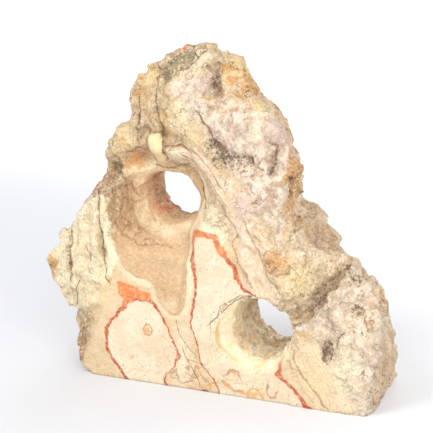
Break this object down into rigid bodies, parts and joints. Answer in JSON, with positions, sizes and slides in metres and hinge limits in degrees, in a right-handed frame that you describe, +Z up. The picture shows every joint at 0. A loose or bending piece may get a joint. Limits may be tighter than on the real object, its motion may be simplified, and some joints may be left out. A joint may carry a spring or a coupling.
{
  "type": "aquascaping rock",
  "caption": "Upright mountain-shaped rock for aquascaping, with a flat veined front panel, a hollow under its crown, holes right through it and a flat cut base to stand on.",
  "frame": {"origin": "middle of the bounding box, on the flat base plane", "axes": "+X to the right along the flat front panel, +Y from the front to the back, +Z up"},
  "size_m": [0.2096, 0.0816, 0.1969],
  "materials": {
    "rock": "dry rough natural stone, cream and tan with red-orange veins"
  },
  "bodies": {
    "root": {"rock": "rock"}
  },
  "joints": []
}
